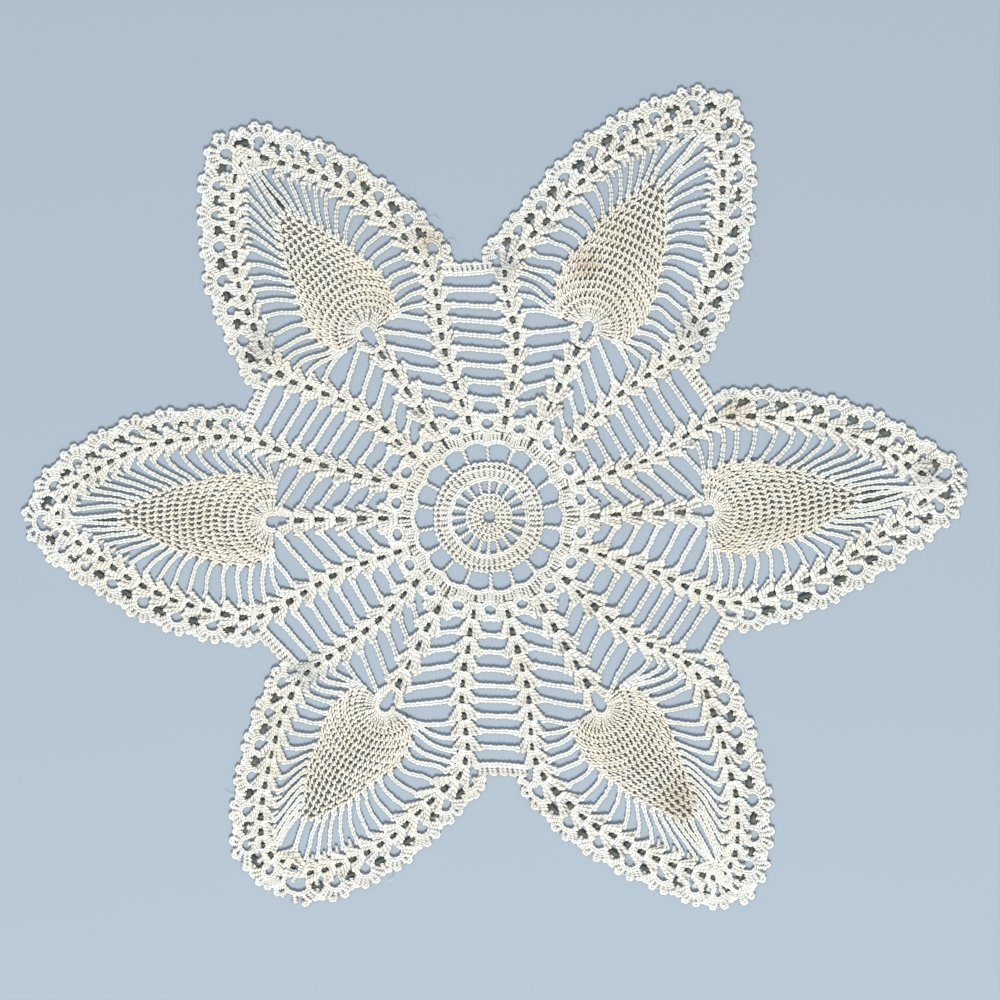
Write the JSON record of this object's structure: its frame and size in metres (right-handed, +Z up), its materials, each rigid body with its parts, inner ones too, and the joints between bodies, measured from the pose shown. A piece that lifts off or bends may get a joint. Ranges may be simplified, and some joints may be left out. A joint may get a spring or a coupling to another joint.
{
  "type": "lace doily",
  "caption": "Flat round crocheted cotton doily with pineapple-pattern petals, open ladders of chains between them and a scalloped edging.",
  "frame": {"origin": "middle of the cloth's box, on the surface it lies on", "axes": "+X along the two longest petals, to the right in plan; +Y away; +Z up out of the cloth"},
  "size_m": [0.3962, 0.345, 0.0018],
  "materials": {
    "cotton": "matt"
  },
  "bodies": {
    "root": {"doily": "cotton"}
  },
  "joints": []
}
